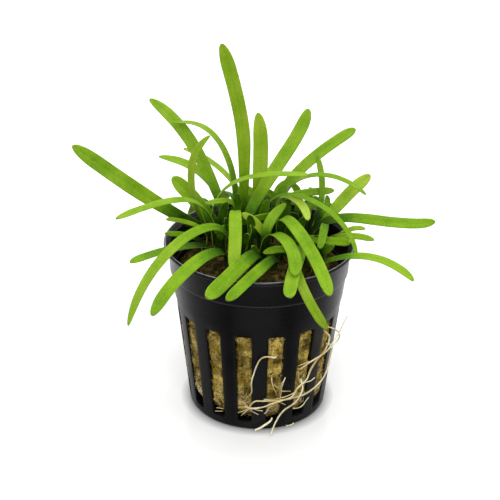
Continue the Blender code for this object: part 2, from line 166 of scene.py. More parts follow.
# Small leaves of the crowns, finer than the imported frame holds
SMALL_LEAVES = {
    "small_leaf_across": Leaf((4.5, 6.5), (25.5, 13, 60.5), (-15, -3.5, 54), (-11.5, -2.5, 53), 2.1, tone=0.3),
    "small_leaf_rear": Leaf((5, 18), (8, 20, 52.5), (3, 21, 55), (1, 24, 54), 2.2, tone=0.35),
    "small_leaf_right_rear": Leaf((13, 15), (15, 15.5, 51), (14, 17.5, 55), (14.5, 20.5, 57), 1.6, tone=0.4),
    "small_leaf_right_curved": Leaf((15.5, 12.5), (17.5, 13, 51), (20, 13.5, 54), (19, 17, 56), 1.8, tone=0.4),
    "small_leaf_right_low": Leaf((17, 4), (19, 2, 49.5), (20.5, 0, 50.5), (24, -1.5, 53), 1.6, tone=0.3),
    "small_leaf_dark": Leaf((-4.5, -1.5), (-4.5, -2, 48), (-2, -3.5, 55.5), (-2.5, -4, 55.5), 2.4, tone=0.15),
    "small_leaf_left": Leaf((-12, 2.5), (-11.5, 2, 48.5), (-10, 0.5, 52), (-10.5, 0, 51.5), 2.0, tone=0.3),
    "small_leaf_crown_left": Leaf((-10, 4), (-11, 4, 50), (-11, 3, 56), (-9, 2, 60), 2.4, tone=0.08),
    "small_leaf_crown_left_low": Leaf((-8, 0.5), (-8.5, 0, 50), (-8, -1, 54), (-9.5, -2, 57), 2.2, tone=0.05),
    "small_leaf_crown_front_left": Leaf((-5, -3), (-5, -4, 49), (-4, -5, 52), (-3, -6.5, 54.5), 2.2, tone=0.05),
    "small_leaf_crown_middle": Leaf((-3, 0), (-2, 0, 50), (-2, -1, 55), (-3, -2, 58), 2.4, tone=0.05),
    "small_leaf_crown_front": Leaf((1, -7), (0, -8, 48), (-1, -9, 51), (-2, -11, 53), 1.8, tone=0.1),
    "small_leaf_crown_front_right": Leaf((6, -2), (7, -3, 50), (8, -4, 54), (8, -5, 57), 2.2, tone=0.05),
    "small_leaf_crown_right": Leaf((9, 1), (10, 0, 51), (11, -1, 55), (12, -2, 57.5), 2.2, tone=0.1),
    "small_leaf_crown_right_low": Leaf((14, -2), (14, -3, 50), (15, -4, 52), (16, -5, 53.5), 2.0, tone=0.12),
    "small_leaf_crown_rear": Leaf((0, 5), (0, 5, 51), (1, 4, 56), (2, 4, 60), 2.6, tone=0.12),
    "small_leaf_crown_rear_left": Leaf((-6, 7), (-7, 7, 51), (-7, 6, 57), (-6, 6, 61), 2.6, tone=0.12),
    "small_leaf_crown_rear_right": Leaf((6, 6), (6, 6, 51), (7, 5, 57), (8, 5, 60), 2.6, tone=0.12),
    "small_leaf_bent": Leaf((-10, 10), (-4, 7.5, 59.5), (-8, 3.5, 60.5), (-15, 2, 59.5), 1.6, tone=0.45),
}


ROOT_SLIMMING = 0.84
HAIR_COUNT = 220


class Root(NamedTuple):
    """A root over the wall: thickness, and points of (degrees round the pot, height, clear of the wall)."""

    thickness: float
    points: tuple


ROOTS = {
    "root_front_hook": Root(
        0.6,
        (
            (13, 25, -0.4), (12, 25.4, 0.9), (6, 26.3, 1.1), (2, 25.7, 1.1), (-0.5, 23.5, 1.1), (-2, 21, 1.1),
            (-4.5, 17.4, 1.1), (-3.5, 15.5, 1.1), (-4, 13.5, 1.0), (-5.7, 12, -0.2),
        ),
    ),
    "root_main": Root(
        0.7,
        (
            (54, 28.5, -0.4), (56, 27.5, 0.9), (57, 26, 1.1), (55.5, 24, 1.1), (53, 22.5, 1.1),
            (46.5, 21.7, 1.1), (42.5, 20.2, 1.1), (39.5, 18.7, 1.2), (37.5, 17.3, 1.5), (35.5, 16.2, 1.9),
            (30, 15.3, 2.2), (27.5, 14.4, 2.2), (26.3, 12.8, 2.2), (24, 11.9, 2.2), (19, 11.5, 2.2),
            (10, 10.7, 2.2), (4, 9.6, 2.2), (-1.5, 9, 2.0), (-6.5, 8.8, 1.6), (-9, 8.6, 0.6),
        ),
    ),
    "root_free_tip": Root(
        0.6,
        (
            (31.5, 19.4, -0.4), (30.5, 19.8, 0.9), (33, 20.9, 1.3), (36.5, 22, 1.7), (41, 22.8, 2.1),
            (47, 23.2, 2.3), (54, 24.4, 2.3), (58.5, 25.5, 2.3), (63, 26.2, 2.3), (67, 27.1, 2.3),
            (71, 28.4, 2.4), (74, 30.2, 3.0),
        ),
    ),
    "root_lower": Root(
        0.7,
        (
            (60, 23.2, -0.4), (64, 22.6, 0.8), (65, 21.2, 1.0), (64, 18, 1.0), (62.5, 15, 1.1),
            (58.5, 13.4, 1.2), (51, 11.8, 1.2), (43, 11.1, 1.2), (36.5, 10.7, 1.2), (30, 10.6, 1.1),
            (22.5, 10.7, 1.0), (13, 10.8, 1.0), (4, 11, 1.0), (-1.5, 11, 1.0), (-4, 10.1, 1.0),
            (-6, 8.2, 0.4),
        ),
    ),
    "root_to_floor": Root(
        0.7,
        (
            (35, 15.3, -0.4), (34, 14.6, 1.0), (33, 13.5, 2.0), (31.2, 11.8, 2.2), (28.5, 10, 2.1),
            (25.5, 8.8, 1.8), (22, 7.8, 1.4), (19, 6.6, 1.2), (16.5, 5.2, 1.2), (14.3, 3.6, 1.5),
            (12.3, 2.2, 2.2), (9.5, 0.8, 4.0),
        ),
    ),
    "root_foot_thick": Root(
        0.8,
        ((-1, 0.9, 1.3), (2.5, 1.5, 1.2), (6, 2.4, 1.1), (9, 3.1, 0.9), (11.5, 3.5, 0.4), (12.5, 3.8, -0.3)),
    ),
}

# Fine rootlets that branch off the roots
ROOTLETS = {
    "rootlet_curl": Root(0.3, ((29.5, 19.4, 1.0), (29.6, 18.4, 1.0), (30.6, 17, 0.8), (32.4, 15.1, 0.7))),
    "rootlet_side_fork": Root(0.4, ((34.5, 15.3, 1.5), (38, 14.8, 1.2), (44, 14.3, 0.9), (46.4, 14.8, 0.8))),
    "rootlet_upright": Root(
        0.42, ((20, 18.2, 0.7), (18.8, 17.2, 0.8), (17.6, 14.9, 0.8), (17.5, 12.6, 0.8), (17.4, 10.9, 0.6)),
    ),
    "rootlet_split": Root(0.3, ((18.9, 17.2, 0.8), (17.1, 16.5, 0.7), (17, 14.2, 0.6), (16.4, 12, 0.5))),
    "rootlet_across_rib": Root(0.3, ((18, 13.8, 0.6), (21.5, 13.2, 0.5), (25.6, 12.8, 0.3))),
    "rootlet_in_slot": Root(0.35, ((10.3, 18.2, -0.2), (11.2, 15.8, 0), (13, 13.9, 0), (15.3, 12.4, -0.1))),
    "rootlet_in_slot_side": Root(0.28, ((12.5, 15.6, -0.1), (14.6, 14.9, 0.1), (17.2, 14.3, 0.1))),
    "rootlet_drop": Root(0.4, ((12, 10.4, 1.9), (11, 9.4, 1.3), (8.7, 8.6, 0.9), (7.6, 6.9, 0.8), (5.8, 6.3, 0.7))),
    "rootlet_stub": Root(0.3, ((15.8, 10.3, 1.2), (19.3, 9.4, 0.9), (22, 8.6, 0.6))),
    "rootlet_low_right": Root(0.4, ((29.6, 6.2, 0), (33, 5.7, 0.4), (38, 6.2, 0.5), (41, 7.4, 0.5), (44, 8.2, 0.4))),
    "rootlet_at_floor": Root(0.5, ((24.6, 0.8, 0.6), (28.6, 0.6, 0.8), (31.4, 1.1, 0.4))),
    "rootlet_loop": Root(
        0.42,
        (
            (55, 30, -0.4), (57.5, 29.4, 1.2), (63, 27.6, 1.9), (68.6, 25.2, 2.2), (68.5, 23.7, 2.1),
            (62, 23.1, 1.8), (54, 23, 1.7), (46, 22.5, 1.7), (39, 22, 1.4), (33, 21.4, 0.8), (30.5, 20.8, 0.2),
        ),
    ),
    "rootlet_fan_left": Root(0.34, ((-6.2, 8.3, 1.2), (-9.5, 7.2, 1.0), (-14.3, 6.1, 0.7))),
    "rootlet_fan_low": Root(0.34, ((-5.8, 8.2, 1.3), (-8.7, 6.8, 1.0), (-11.9, 5.3, 0.7))),
    "rootlet_fan_level": Root(0.3, ((-6.4, 8.7, 1.3), (-10.2, 8.7, 1.0), (-14.3, 8.1, 0.7))),
    "rootlet_fan_right_low": Root(0.3, ((-5.4, 8.1, 1.2), (-2.4, 7, 0.9), (1.2, 6, 0.8))),
    "rootlet_fan_right": Root(0.3, ((-4.6, 8.3, 1.3), (-1.2, 8.1, 1.2), (2.2, 8.5, 0.9))),
    "rootlet_fan_back": Root(0.3, ((-3.6, 8.8, 1.6), (-0.6, 7.8, 1.0), (4.6, 7.4, 0.8))),
    "rootlet_fan_up": Root(0.28, ((-5.8, 8.6, 1.2), (-9, 9.6, 0.4), (-12.4, 9.7, 0.1))),
    "rootlet_bundle": Root(0.34, ((27.6, 13.4, 1.9), (24, 12.5, 1.7), (18, 12, 1.6), (11, 11.6, 1.5), (5, 11.8, 1.2))),
    "rootlet_left_slot": Root(0.34, ((-34, 5.2, -0.1), (-31, 5.7, 0.1), (-27.6, 5.6, -0.1))),
    "rootlet_left_slot_low": Root(0.3, ((-36, 3.8, -0.1), (-32, 4.4, 0.1), (-28, 4.9, 0.1))),
}


def front_direction(degrees):
    """Unit direction round the pot, 0 at its front and positive towards +X."""
    return Vector((sin(radians(degrees)), -cos(radians(degrees)), 0))


def wall_radius(height):
    """Outer radius of the pot's wall at a height, below the band."""
    return BASE_RADIUS + WALL_LEAN * height + (STEP_OUT if height > STEP_HEIGHT else 0.0)


def start_piece():
    """Nothing selected, in object mode, before a new primitive."""
    if bpy.context.mode != "OBJECT":
        bpy.ops.object.mode_set(mode="OBJECT")
    bpy.ops.object.select_all(action="DESELECT")


def named_piece(name):
    piece = bpy.context.object
    piece.name = name
    piece.data.name = name
    return piece


def pick(piece, kind, test):
    """In edit mode, selects the verts, edges or faces that pass the test, and says how many."""
    shape = bmesh.from_edit_mesh(piece.data)
    for element in (*shape.faces, *shape.edges, *shape.verts):
        element.select = False
    chosen = [element for element in getattr(shape, kind) if test(element)]
    for element in chosen:
        element.select_set(True)
    shape.select_flush_mode()
    bmesh.update_edit_mesh(piece.data)
    return len(chosen)


def apply_modifier(piece, modifier):
    bpy.context.view_layer.objects.active = piece
    bpy.ops.object.modifier_apply(modifier=modifier.name)


def settle(piece):
    """The place of a finished piece goes into its mesh."""
    start_piece()
    piece.select_set(True)
    bpy.context.view_layer.objects.active = piece
    bpy.ops.object.transform_apply(location=True, rotation=True, scale=True)


def dress(piece, material, slot, *nodes):
    """Material, body and the frame's nodes that the piece stands for; the record slot is not used."""
    piece.data.materials.clear()
    piece.data.materials.append(material)
    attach(piece, "root")
    if nodes:
        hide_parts(*nodes)
    return piece


# Camera, at the photograph's viewing angle
CAMERA_PLACE = (0.0, -0.3057, 0.1955)
CAMERA_TURN = 0.49
CAMERA_TILT = 64.01
CAMERA_ROLL = 0.73
CAMERA_LENS = 88.24


def make_camera():
    data = bpy.data.cameras.new("camera")
    camera = bpy.data.objects.new("camera", data)
    bpy.context.scene.collection.objects.link(camera)
    data.sensor_width = 36.0
    data.lens = CAMERA_LENS
    data.clip_start = 0.01
    data.clip_end = 20.0
    aim = (
        Matrix.Rotation(radians(CAMERA_TURN), 4, "Z")
        @ Matrix.Rotation(radians(CAMERA_TILT), 4, "X")
        @ Matrix.Rotation(radians(CAMERA_ROLL), 4, "Z")
    )
    camera.matrix_world = Matrix.Translation(CAMERA_PLACE) @ aim
    bpy.context.scene.camera = camera


make_camera()


# Materials

class Graph:
    """Short ways to add and join shader nodes in a material or a node group."""

    def __init__(self, tree):
        self.tree = tree

    def node(self, kind, operation=None, **settings):
        made = self.tree.nodes.new(kind)
        if operation:
            made.operation = operation
        for name, value in settings.items():
            setattr(made, name, value)
        return made

    def join(self, source, target):
        self.tree.links.new(source, target)

    def feed(self, socket, value):
        """A socket takes a number, a colour or another node's output."""
        if hasattr(value, "is_output"):
            self.join(value, socket)
        else:
            socket.default_value = value

    def maths(self, operation, first, second=0.0, clamp=False):
        made = self.node("ShaderNodeMath", operation, use_clamp=clamp)
        self.feed(made.inputs[0], first)
        self.feed(made.inputs[1], second)
        return made.outputs[0]

    def noise(self, place, scale, detail=3.0, rough=0.5):
        made = self.node("ShaderNodeTexNoise")
        self.feed(made.inputs["Vector"], place)
        self.feed(made.inputs["Scale"], scale)
        made.inputs["Detail"].default_value = detail
        made.inputs["Roughness"].default_value = rough
        return made.outputs["Fac"]

    def stretched(self, place, scale):
        made = self.node("ShaderNodeMapping")
        self.feed(made.inputs["Vector"], place)
        made.inputs["Scale"].default_value = scale
        return made.outputs["Vector"]

    def spread(self, value, low, high, to_low=0.0, to_high=1.0):
        made = self.node("ShaderNodeMapRange")
        self.feed(made.inputs["Value"], value)
        made.inputs["From Min"].default_value = low
        made.inputs["From Max"].default_value = high
        made.inputs["To Min"].default_value = to_low
        made.inputs["To Max"].default_value = to_high
        return made.outputs["Result"]

    def blend(self, amount, first, second):
        made = self.node("ShaderNodeMix", data_type="RGBA")
        self.feed(made.inputs[0], amount)
        self.feed(made.inputs[6], first)
        self.feed(made.inputs[7], second)
        return made.outputs[2]

    def group(self, tree, **values):
        made = self.node("ShaderNodeGroup")
        made.node_tree = tree
        for name, value in values.items():
            self.feed(made.inputs[name.replace("_", " ")], value)
        return made.outputs


def new_material(name):
    """A material, its graph and its shader."""
    made = bpy.data.materials.new(name)
    made.use_nodes = True
    return made, Graph(made.node_tree), made.node_tree.nodes["Principled BSDF"]


def new_effect(name, inputs, outputs):
    """A shader node group with named inputs and outputs."""
    tree = bpy.data.node_groups.new(name, "ShaderNodeTree")
    for label, kind, value in inputs:
        socket = tree.interface.new_socket(label, in_out="INPUT", socket_type=kind)
        if value is not None:
            socket.default_value = value
    for label, kind in outputs:
        tree.interface.new_socket(label, in_out="OUTPUT", socket_type=kind)
    graph = Graph(tree)
    return tree, graph, graph.node("NodeGroupInput").outputs, graph.node("NodeGroupOutput").inputs


COLOUR, FLOAT, VECTOR = "NodeSocketColor", "NodeSocketFloat", "NodeSocketVector"


def mottling_effect():
    """Two tones of one colour in soft patches, with a finer speckle."""
    tree, graph, given, out = new_effect(
        "mottling",
        (
            ("Place", VECTOR, None), ("Dark", COLOUR, (0, 0, 0, 1)), ("Light", COLOUR, (1, 1, 1, 1)),
            ("Patch Scale", FLOAT, 200.0), ("Speckle Scale", FLOAT, 1500.0), ("Speckle", FLOAT, 0.3),
        ),
        (("Colour", COLOUR), ("Mask", FLOAT)),
    )
    patches = graph.noise(given["Place"], given["Patch Scale"], 2.0)
    speckle = graph.noise(given["Place"], given["Speckle Scale"], 3.0, 0.6)
    lifted = graph.maths("MULTIPLY", graph.maths("SUBTRACT", speckle, 0.5), given["Speckle"])
    mask = graph.spread(graph.maths("ADD", patches, lifted), 0.36, 0.64)
    graph.join(mask, out["Mask"])
    graph.join(graph.blend(mask, given["Dark"], given["Light"]), out["Colour"])
    return tree


def fine_bump_effect():
    """A surface normal roughened at one fine scale."""
    tree, graph, given, out = new_effect(
        "fine_bump",
        (
            ("Place", VECTOR, None), ("Scale", FLOAT, 3000.0), ("Strength", FLOAT, 0.2),
            ("Depth", FLOAT, 0.0001),
        ),
        (("Normal", VECTOR), ("Grain", FLOAT)),
    )
    grain = graph.noise(given["Place"], given["Scale"], 3.0, 0.6)
    bump = graph.node("ShaderNodeBump")
    graph.join(grain, bump.inputs["Height"])
    graph.join(given["Strength"], bump.inputs["Strength"])
    graph.join(given["Depth"], bump.inputs["Distance"])
    graph.join(bump.outputs["Normal"], out["Normal"])
    graph.join(grain, out["Grain"])
    return tree


MOTTLING = mottling_effect()
FINE_BUMP = fine_bump_effect()


def black_plastic():
    """Injection-moulded black plastic, satin, with a fine grain, faint scuffs, paler edges partly from wear and partly
    painted highlight, and painted highlight lines round the band's and lip's lower edges and on the lip's crest.
    """
    made, graph, shader = new_material("black_plastic")
    place = graph.node("ShaderNodeTexCoord").outputs["Object"]
    tones = graph.group(
        MOTTLING, Place=place, Dark=(0.0032, 0.0032, 0.004, 1), Light=(0.0055, 0.0055, 0.0066, 1),
        Patch_Scale=90.0, Speckle_Scale=1800.0, Speckle=0.5,
    )
    scuffs = graph.noise(graph.stretched(place, (1.0, 1.0, 0.12)), 420.0, 4.0, 0.65)
    scuffed = graph.spread(scuffs, 0.62, 0.78, 0.0, 0.35)
    bent = graph.node("ShaderNodeNewGeometry").outputs["Pointiness"]
    # Paler sharp edges by pointiness: partly wear, partly a painted highlight along edges that catch light.
    worn_and_highlit_edges = graph.spread(bent, 0.55, 0.64, 0.0, 0.2)
    colour = graph.blend(scuffed, tones["Colour"], (0.008, 0.008, 0.0095, 1))
    colour = graph.blend(worn_and_highlit_edges, colour, (0.03, 0.03, 0.032, 1))
    height = graph.node("ShaderNodeSeparateXYZ")
    graph.join(place, height.inputs[0])
    # Painted highlight lines: pale rings at the band's lower edge and the lip's lower edge, and a brighter painted
    # highlight on the lip's crest.
    for middle, reach, pale in ((0.04188, 0.00015, 0.06), (0.04885, 0.00012, 0.06), (0.0498, 0.000012, 0.6)):
        away = graph.maths("ABSOLUTE", graph.maths("SUBTRACT", height.outputs[2], middle))
        colour = graph.blend(graph.spread(away, reach, reach * 1.8, 0.8, 0.0), colour, (pale, pale, pale * 1.05, 1))
    graph.join(colour, shader.inputs["Base Color"])
    grain = graph.group(FINE_BUMP, Place=place, Scale=5200.0, Strength=0.22, Depth=0.00006)
    graph.join(grain["Normal"], shader.inputs["Normal"])
    sheen = graph.spread(graph.maths("ADD", scuffs, tones["Mask"]), 0.3, 1.5, 0.24, 0.36)
    graph.join(sheen, shader.inputs["Roughness"])
    shader.inputs["Specular IOR Level"].default_value = 0.31
    return made


def rockwool_mat(name, dark, light, shaded_damp_top):
    """Mineral wool, olive-brown, its top darker partly from moisture and partly from painted shade under the leaves,
    with painted shade in dark pits and hollows between matted fibres.
    """
    made, graph, shader = new_material(name)
    place = graph.node("ShaderNodeTexCoord").outputs["Object"]
    tones = graph.group(
        MOTTLING, Place=place, Dark=dark, Light=light, Patch_Scale=260.0, Speckle_Scale=2600.0, Speckle=1.1,
    )
    pits = graph.spread(graph.noise(place, 900.0, 4.0, 0.65), 0.32, 0.47, 1.0, 0.0)
    streaks = graph.noise(graph.stretched(place, (1.0, 1.0, 2.6)), 700.0, 4.0, 0.6)
    height = graph.node("ShaderNodeSeparateXYZ")
    graph.join(place, height.inputs[0])
    # Darker top: partly damp wool, partly painted shade of the leaves above, with near-black painted shade patches
    # over it.
    damp_and_canopy_shade = graph.spread(height.outputs[2], 0.034, 0.041, 0.0, 0.85)
    # Painted shade: near-black in the hollows and, below, in the pits between fibres.
    hollows = graph.spread(graph.noise(place, 210.0, 4.0, 0.65), 0.4, 0.54, 0.7, 0.0)
    colour = graph.blend(damp_and_canopy_shade, tones["Colour"], shaded_damp_top)
    shaded_top_patches = graph.spread(graph.noise(place, 480.0, 3.0, 0.6), 0.45, 0.56, 0.95, 0.0)
    colour = graph.blend(graph.maths("MULTIPLY", damp_and_canopy_shade, shaded_top_patches), colour, (0.005, 0.005, 0.0008, 1))
    colour = graph.blend(hollows, colour, (0.012, 0.008, 0.001, 1))
    graph.join(
        graph.blend(graph.maths("MULTIPLY", pits, 0.85), colour, (0.01, 0.007, 0.001, 1)), shader.inputs["Base Color"]
    )
    matting = graph.maths("ADD", graph.maths("MULTIPLY", streaks, 0.6), graph.maths("MULTIPLY", pits, -0.6))
    bump = graph.node("ShaderNodeBump")
    bump.inputs["Strength"].default_value = 0.9
    bump.inputs["Distance"].default_value = 0.0004
    graph.join(matting, bump.inputs["Height"])
    graph.join(bump.outputs["Normal"], shader.inputs["Normal"])
    graph.join(graph.spread(streaks, 0.3, 0.7, 0.78, 0.96), shader.inputs["Roughness"])
    shader.inputs["Specular IOR Level"].default_value = 0.1
    return made


def leaf_green():
    """A satin blade: darker at its foot and low in the crown, partly own colour and partly painted shade, painted
    shade in the thin crease on its midrib, fine veins, and a pale thin edge that is partly painted rim light.
    """
    made, graph, shader = new_material("leaf_green")
    blade = graph.node("ShaderNodeUVMap", uv_map="blade").outputs["UV"]
    parts = graph.node("ShaderNodeSeparateXYZ")
    graph.join(blade, parts.inputs[0])
    across = parts.outputs[0]
    run = graph.node("ShaderNodeAttribute", attribute_name="run").outputs["Fac"]
    # Per-leaf tone: partly the blade's own colour, partly painted light and shade for its place in the crown.
    tone = graph.node("ShaderNodeAttribute", attribute_name="tone").outputs["Fac"]
    place = graph.node("ShaderNodeTexCoord").outputs["Object"]
    patches = graph.noise(place, 150.0, 3.0)
    speckle = graph.noise(place, 1900.0, 3.0, 0.65)
    veins = graph.noise(graph.stretched(blade, (46.0, 1.2, 1.0)), 1.0, 2.0, 0.5)
    from_middle = graph.maths("ABSOLUTE", graph.maths("SUBTRACT", across, 0.5))
    lit = graph.maths("ADD", tone, graph.spread(patches, 0.3, 0.7, -0.09, 0.09))
    lit = graph.maths("ADD", lit, graph.spread(veins, 0.35, 0.65, -0.045, 0.045))
    lit = graph.maths("ADD", lit, graph.spread(speckle, 0.3, 0.7, -0.07, 0.07))
    # Darker towards the foot: partly the blade's own colour, partly painted shade of the crown.
    lit = graph.maths("ADD", lit, graph.spread(run, 0.0, 0.5, -0.4, 0.03))
    height = graph.node("ShaderNodeSeparateXYZ")
    graph.join(place, height.inputs[0])
    # Painted shade: the lower parts of blades near the foot, low in the crown, are darkened.
    low = graph.maths("MULTIPLY", graph.spread(height.outputs[2], 0.047, 0.06, 0.3, 0.0), graph.spread(run, 0.3, 0.6, 1.0, 0.0))
    lit = graph.maths("SUBTRACT", lit, low, clamp=True)
    ramp = graph.node("ShaderNodeValToRGB")
    ramp.color_ramp.elements[0].color = (0.009, 0.032, 0.001, 1)
    ramp.color_ramp.elements[1].color = (0.47, 0.63, 0.1, 1)
    for stop, colour in (
        (0.25, (0.062, 0.165, 0.002, 1)), (0.5, (0.18, 0.34, 0.008, 1)), (0.75, (0.305, 0.455, 0.03, 1)),
    ):
        ramp.color_ramp.elements.new(stop).color = colour
    graph.join(lit, ramp.inputs[0])
    # Painted shade in the thin crease along the midrib.
    crease_shade = graph.spread(from_middle, 0.0, 0.03, 0.35, 0.0)
    colour = graph.blend(crease_shade, ramp.outputs[0], (0.06, 0.17, 0.004, 1))
    # Pale thin edge: partly the blade's paler margin, partly painted rim light from translucency.
    edge = graph.spread(from_middle, 0.465, 0.498, 0.0, 0.5)
    colour = graph.blend(edge, colour, (0.34, 0.5, 0.07, 1))
    tip = graph.spread(run, 0.985, 1.0, 0.0, 0.5)
    graph.join(graph.blend(tip, colour, (0.13, 0.2, 0.025, 1)), shader.inputs["Base Color"])
    bump = graph.node("ShaderNodeBump")
    bump.inputs["Strength"].default_value = 0.3
    bump.inputs["Distance"].default_value = 0.0001
    graph.join(graph.maths("ADD", veins, graph.maths("MULTIPLY", speckle, 0.3)), bump.inputs["Height"])
    graph.join(bump.outputs["Normal"], shader.inputs["Normal"])
    graph.join(graph.spread(speckle, 0.3, 0.7, 0.42, 0.55), shader.inputs["Roughness"])
    shader.inputs["Subsurface Weight"].default_value = 0.08
    shader.inputs["Subsurface Radius"].default_value = (0.5, 1.0, 0.1)
    shader.inputs["Subsurface Scale"].default_value = 0.0005
    shader.inputs["Specular IOR Level"].default_value = 0.1
    return made


def root_cream():
    """Cream roots with tan patches and a slightly ribbed skin."""
    made, graph, shader = new_material("root_cream")
    place = graph.node("ShaderNodeTexCoord").outputs["Object"]
    tones = graph.group(
        MOTTLING, Place=place, Dark=(0.66, 0.5, 0.2, 1), Light=(0.93, 0.87, 0.6, 1),
        Patch_Scale=170.0, Speckle_Scale=2400.0, Speckle=0.5,
    )
    graph.join(tones["Colour"], shader.inputs["Base Color"])
    skin = graph.group(FINE_BUMP, Place=place, Scale=3800.0, Strength=0.4, Depth=0.0001)
    graph.join(skin["Normal"], shader.inputs["Normal"])
    graph.join(graph.spread(skin["Grain"], 0.3, 0.7, 0.42, 0.6), shader.inputs["Roughness"])
    shader.inputs["Specular IOR Level"].default_value = 0.25
    shader.inputs["Subsurface Weight"].default_value = 0.1
    shader.inputs["Subsurface Radius"].default_value = (1.0, 0.7, 0.4)
    shader.inputs["Subsurface Scale"].default_value = 0.0004
    return made


def studio_floor():
    """White acrylic with a faint mirror, a painted glow for the camera that grows away from the pot, and a painted
    contact shadow under the pot; it throws less light on its front.
    """
    made, graph, shader = new_material("studio_floor")
    seen = graph.node("ShaderNodeLightPath").outputs["Is Camera Ray"]
    place = graph.node("ShaderNodeSeparateXYZ")
    graph.join(graph.node("ShaderNodeTexCoord").outputs["Object"], place.inputs[0])
    bounced = graph.blend(
        graph.spread(place.outputs[1], -0.035, 0.055), (0.07, 0.07, 0.07, 1), (0.93, 0.93, 0.93, 1)
    )
    away = graph.node("ShaderNodeVectorMath", "LENGTH")
    graph.join(graph.node("ShaderNodeTexCoord").outputs["Object"], away.inputs[0])
    # Painted contact shadow: a dark ring on the floor round the pot's foot.
    painted_contact_shadow = graph.spread(away.outputs["Value"], 0.0188, 0.0225)
    shown = graph.blend(painted_contact_shadow, (0.3, 0.3, 0.3, 1), (0.93, 0.93, 0.93, 1))
    graph.join(graph.blend(seen, bounced, shown), shader.inputs["Base Color"])
    # Painted glow, seen only by the camera, rising away from the pot.
    near = graph.spread(away.outputs["Value"], 0.03, 0.16, 0.03, 0.4)
    far = graph.spread(away.outputs["Value"], 0.3, 1.3, 0.0, 0.8)
    glow = graph.maths("MULTIPLY", graph.maths("ADD", near, far), seen)
    shader.inputs["Emission Color"].default_value = (1.0, 1.0, 1.0, 1)
    graph.join(glow, shader.inputs["Emission Strength"])
    shader.inputs["Roughness"].default_value = 0.12
    return made


def studio_backdrop():
    """A lit white wall behind the set."""
    made, graph, shader = new_material("studio_backdrop")
    shader.inputs["Base Color"].default_value = (0.0, 0.0, 0.0, 1)
    shader.inputs["Emission Color"].default_value = (1.0, 1.0, 1.0, 1)
    shader.inputs["Emission Strength"].default_value = 1.0
    return made


PLASTIC = black_plastic()
WOOL = rockwool_mat("rockwool", (0.26, 0.17, 0.02, 1), (0.76, 0.56, 0.13, 1), (0.04, 0.03, 0.002, 1))
FIBRE = rockwool_mat("rockwool_fibre", (0.42, 0.29, 0.045, 1), (0.97, 0.8, 0.32, 1), (0.06, 0.046, 0.004, 1))
GREEN = leaf_green()
CREAM = root_cream()


# Net pot

def pot_rings():
    """Radius and height of each ring: up the outer side from the base, over the lip, down inside to the floor."""
    wall = wall_radius
    inner_band = BAND_RADIUS - WALL
    return (
        (15.5, 0.25), (16.2, 0.0), (18.5, 0.0), (18.98, 0.08), (19.34, 0.32), (19.55, 0.68), (wall(1.2), 1.2),
        (wall(SLOT_BOTTOM), SLOT_BOTTOM), (wall(12.0), 12.0), (wall(22.0), 22.0), (wall(SLOT_TOP), SLOT_TOP),
        (wall(34.3), 34.3), (wall(34.3) + 0.24, 34.5), (wall(41.45), 41.45), (wall(41.5) + 0.3, 41.7),
        (BAND_RADIUS - 0.05, 41.95), (BAND_RADIUS + 0.3, 48.2), (BAND_RADIUS + 0.42, 48.6),
        (26.1, 48.7), (26.4, 48.8), (26.5, 49.0), (26.5, 49.3), (26.43, 49.58), (26.3, 49.75),
        (26.1, POT_HEIGHT), (25.9, 49.76), (25.55, 49.55), (25.1, 49.2), (24.65, 48.75), (24.35, 48.2),
        (inner_band + 0.15, 47.0), (inner_band - 0.05, 42.4), (wall(41.0) - WALL - 0.1, 41.2),
        (wall(34.6) - WALL, 34.6), (wall(SLOT_TOP) - WALL, SLOT_TOP), (wall(22.0) - WALL, 22.0),
        (wall(12.0) - WALL, 12.0), (wall(SLOT_BOTTOM) - WALL, SLOT_BOTTOM), (wall(1.8) - WALL, 1.8),
        (wall(1.3) - WALL - 0.5, FLOOR_THICKNESS), (12.0, FLOOR_THICKNESS), (4.0, FLOOR_THICKNESS),
    )


def rim_turns():
    """Angles of the pot's upright lines: four steps over each slot and five over each rib."""
    pitch = 360 / SLOT_COUNT
    turns = []
    for number in range(SLOT_COUNT):
        start = FIRST_SLOT + pitch * number - SLOT_HALF_ANGLE
        turns += [start + 2 * SLOT_HALF_ANGLE * step / SLOT_STEPS for step in range(SLOT_STEPS)]
        rib = start + 2 * SLOT_HALF_ANGLE
        turns += [rib + (pitch - 2 * SLOT_HALF_ANGLE) * step / RIB_STEPS for step in range(RIB_STEPS)]
    return turns


def slot_at(point):
    """Which slot a point of the wall lies over, and how far in degrees from the slot's middle."""
    turn = Vector((point.x, point.y)).angle_signed(Vector((0, -1))) * 180 / pi
    pitch = 360 / SLOT_COUNT
    number = round((turn - FIRST_SLOT) / pitch)
    return number % SLOT_COUNT, abs(turn - FIRST_SLOT - pitch * number)


def cut_slots(pot):
    """Opens each slot through both walls and closes its sides between them."""
    low, high = SLOT_BOTTOM * MM, SLOT_TOP * MM

    def over_slot(face):
        middle = face.calc_center_median()
        inside = low < middle.z < high and Vector((middle.x, middle.y)).length > 17 * MM
        return inside and slot_at(middle)[1] < SLOT_HALF_ANGLE

    bpy.ops.mesh.select_mode(type="FACE")
    pick(pot, "faces", over_slot)
    bpy.ops.mesh.delete(type="FACE")
    bpy.ops.mesh.select_mode(type="EDGE")
    for number in range(SLOT_COUNT):
        pick(
            pot, "edges",
            lambda edge: edge.is_boundary
            and slot_at((edge.verts[0].co + edge.verts[1].co) / 2)[0] == number
            and (edge.verts[0].co.z + edge.verts[1].co.z) > low,
        )
        bpy.ops.mesh.bridge_edge_loops()


